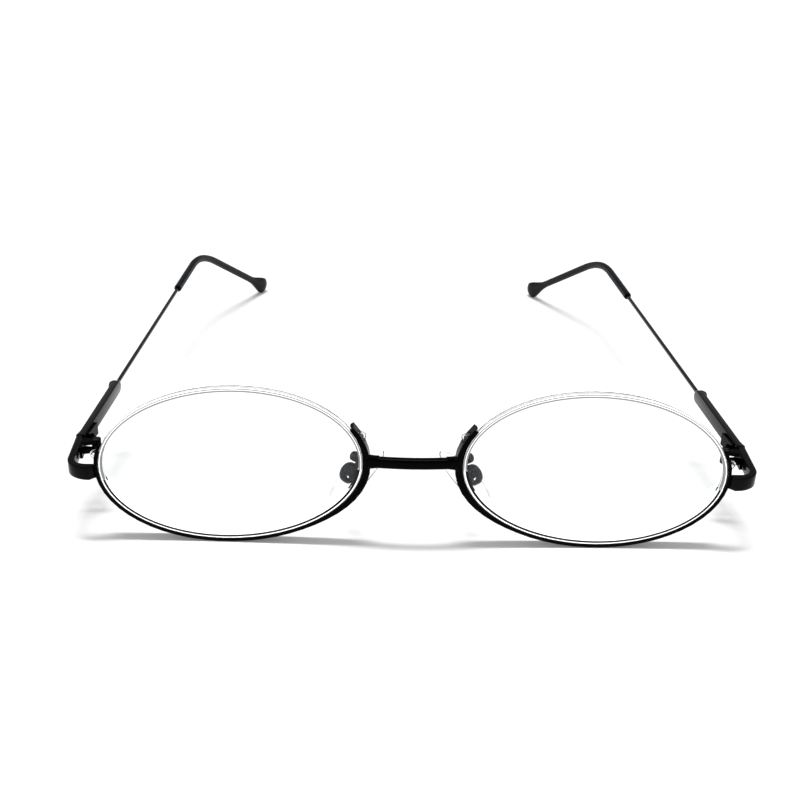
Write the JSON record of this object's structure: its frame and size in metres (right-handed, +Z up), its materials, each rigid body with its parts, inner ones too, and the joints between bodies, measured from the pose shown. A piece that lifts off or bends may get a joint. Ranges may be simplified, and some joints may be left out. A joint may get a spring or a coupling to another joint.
{
  "type": "under-rim eyeglasses",
  "caption": "Oval under-rim eyeglasses: black metal rims run below clear lenses that nylon cords hold from above, with folding wire temples and rocking nose pads.",
  "frame": {"origin": "middle of the footprint, on the table that the open glasses rest on", "axes": "+X to the right in the picture, +Y from the lenses back to the temple tips, +Z up from the table"},
  "size_m": [0.1382, 0.1472, 0.035],
  "materials": {
    "black_metal": "gloss black lacquer",
    "dark_steel": "dark satin plate",
    "tip_plastic": "blue-black satin",
    "clear_lens": "clear polished",
    "pad_silicone": "clear moulded",
    "clear_nylon": "clear drawn"
  },
  "bodies": {
    "front": {"bridge": "black_metal", "rim_left": "black_metal", "rim_right": "black_metal", "end_piece_left": "black_metal", "end_piece_right": "black_metal", "front_hinge_leaf_left": "black_metal", "front_hinge_leaf_right": "black_metal", "hinge_screw_left": "dark_steel", "hinge_screw_right": "dark_steel", "pad_arm_left": "dark_steel", "pad_arm_right": "dark_steel", "pad_box_left": "dark_steel", "pad_box_right": "dark_steel", "pad_screw_left": "dark_steel", "pad_screw_right": "dark_steel", "lens_left": "clear_lens", "lens_right": "clear_lens", "rim_liner_left": "clear_nylon", "rim_liner_right": "clear_nylon", "nylon_cord_left": "clear_nylon", "nylon_cord_right": "clear_nylon"},
    "temple_left": {"temple_hinge_leaf_left": "black_metal", "temple_bar_left": "black_metal", "temple_wire_left": "black_metal", "temple_tip_left": "tip_plastic"},
    "temple_right": {"temple_hinge_leaf_right": "black_metal", "temple_bar_right": "black_metal", "temple_wire_right": "black_metal", "temple_tip_right": "tip_plastic"},
    "pad_left": {"nose_pad_left": "pad_silicone", "pad_lug_left": "dark_steel"},
    "pad_right": {"nose_pad_right": "pad_silicone", "pad_lug_right": "dark_steel"}
  },
  "joints": [
    {"name": "temple_left_fold", "type": "hinge", "parent": "front", "child": "temple_left", "pos_m": [-0.06463, -0.06005, 0.01554], "axis": [0, 0, -1], "range_deg": [0, 74]},
    {"name": "temple_right_fold", "type": "hinge", "parent": "front", "child": "temple_right", "pos_m": [0.06463, -0.06005, 0.01554], "axis": [0, 0, 1], "range_deg": [0, 84]},
    {"name": "nose_pad_left_rock", "type": "hinge", "parent": "front", "child": "pad_left", "pos_m": [-0.01254, -0.06643, 0.01389], "axis": [-0.2381, 0.9436, 0.23], "range_deg": [-8, 8]},
    {"name": "nose_pad_right_rock", "type": "hinge", "parent": "front", "child": "pad_right", "pos_m": [0.01254, -0.06643, 0.01389], "axis": [0.2381, 0.9436, 0.23], "range_deg": [-8, 8]}
  ]
}
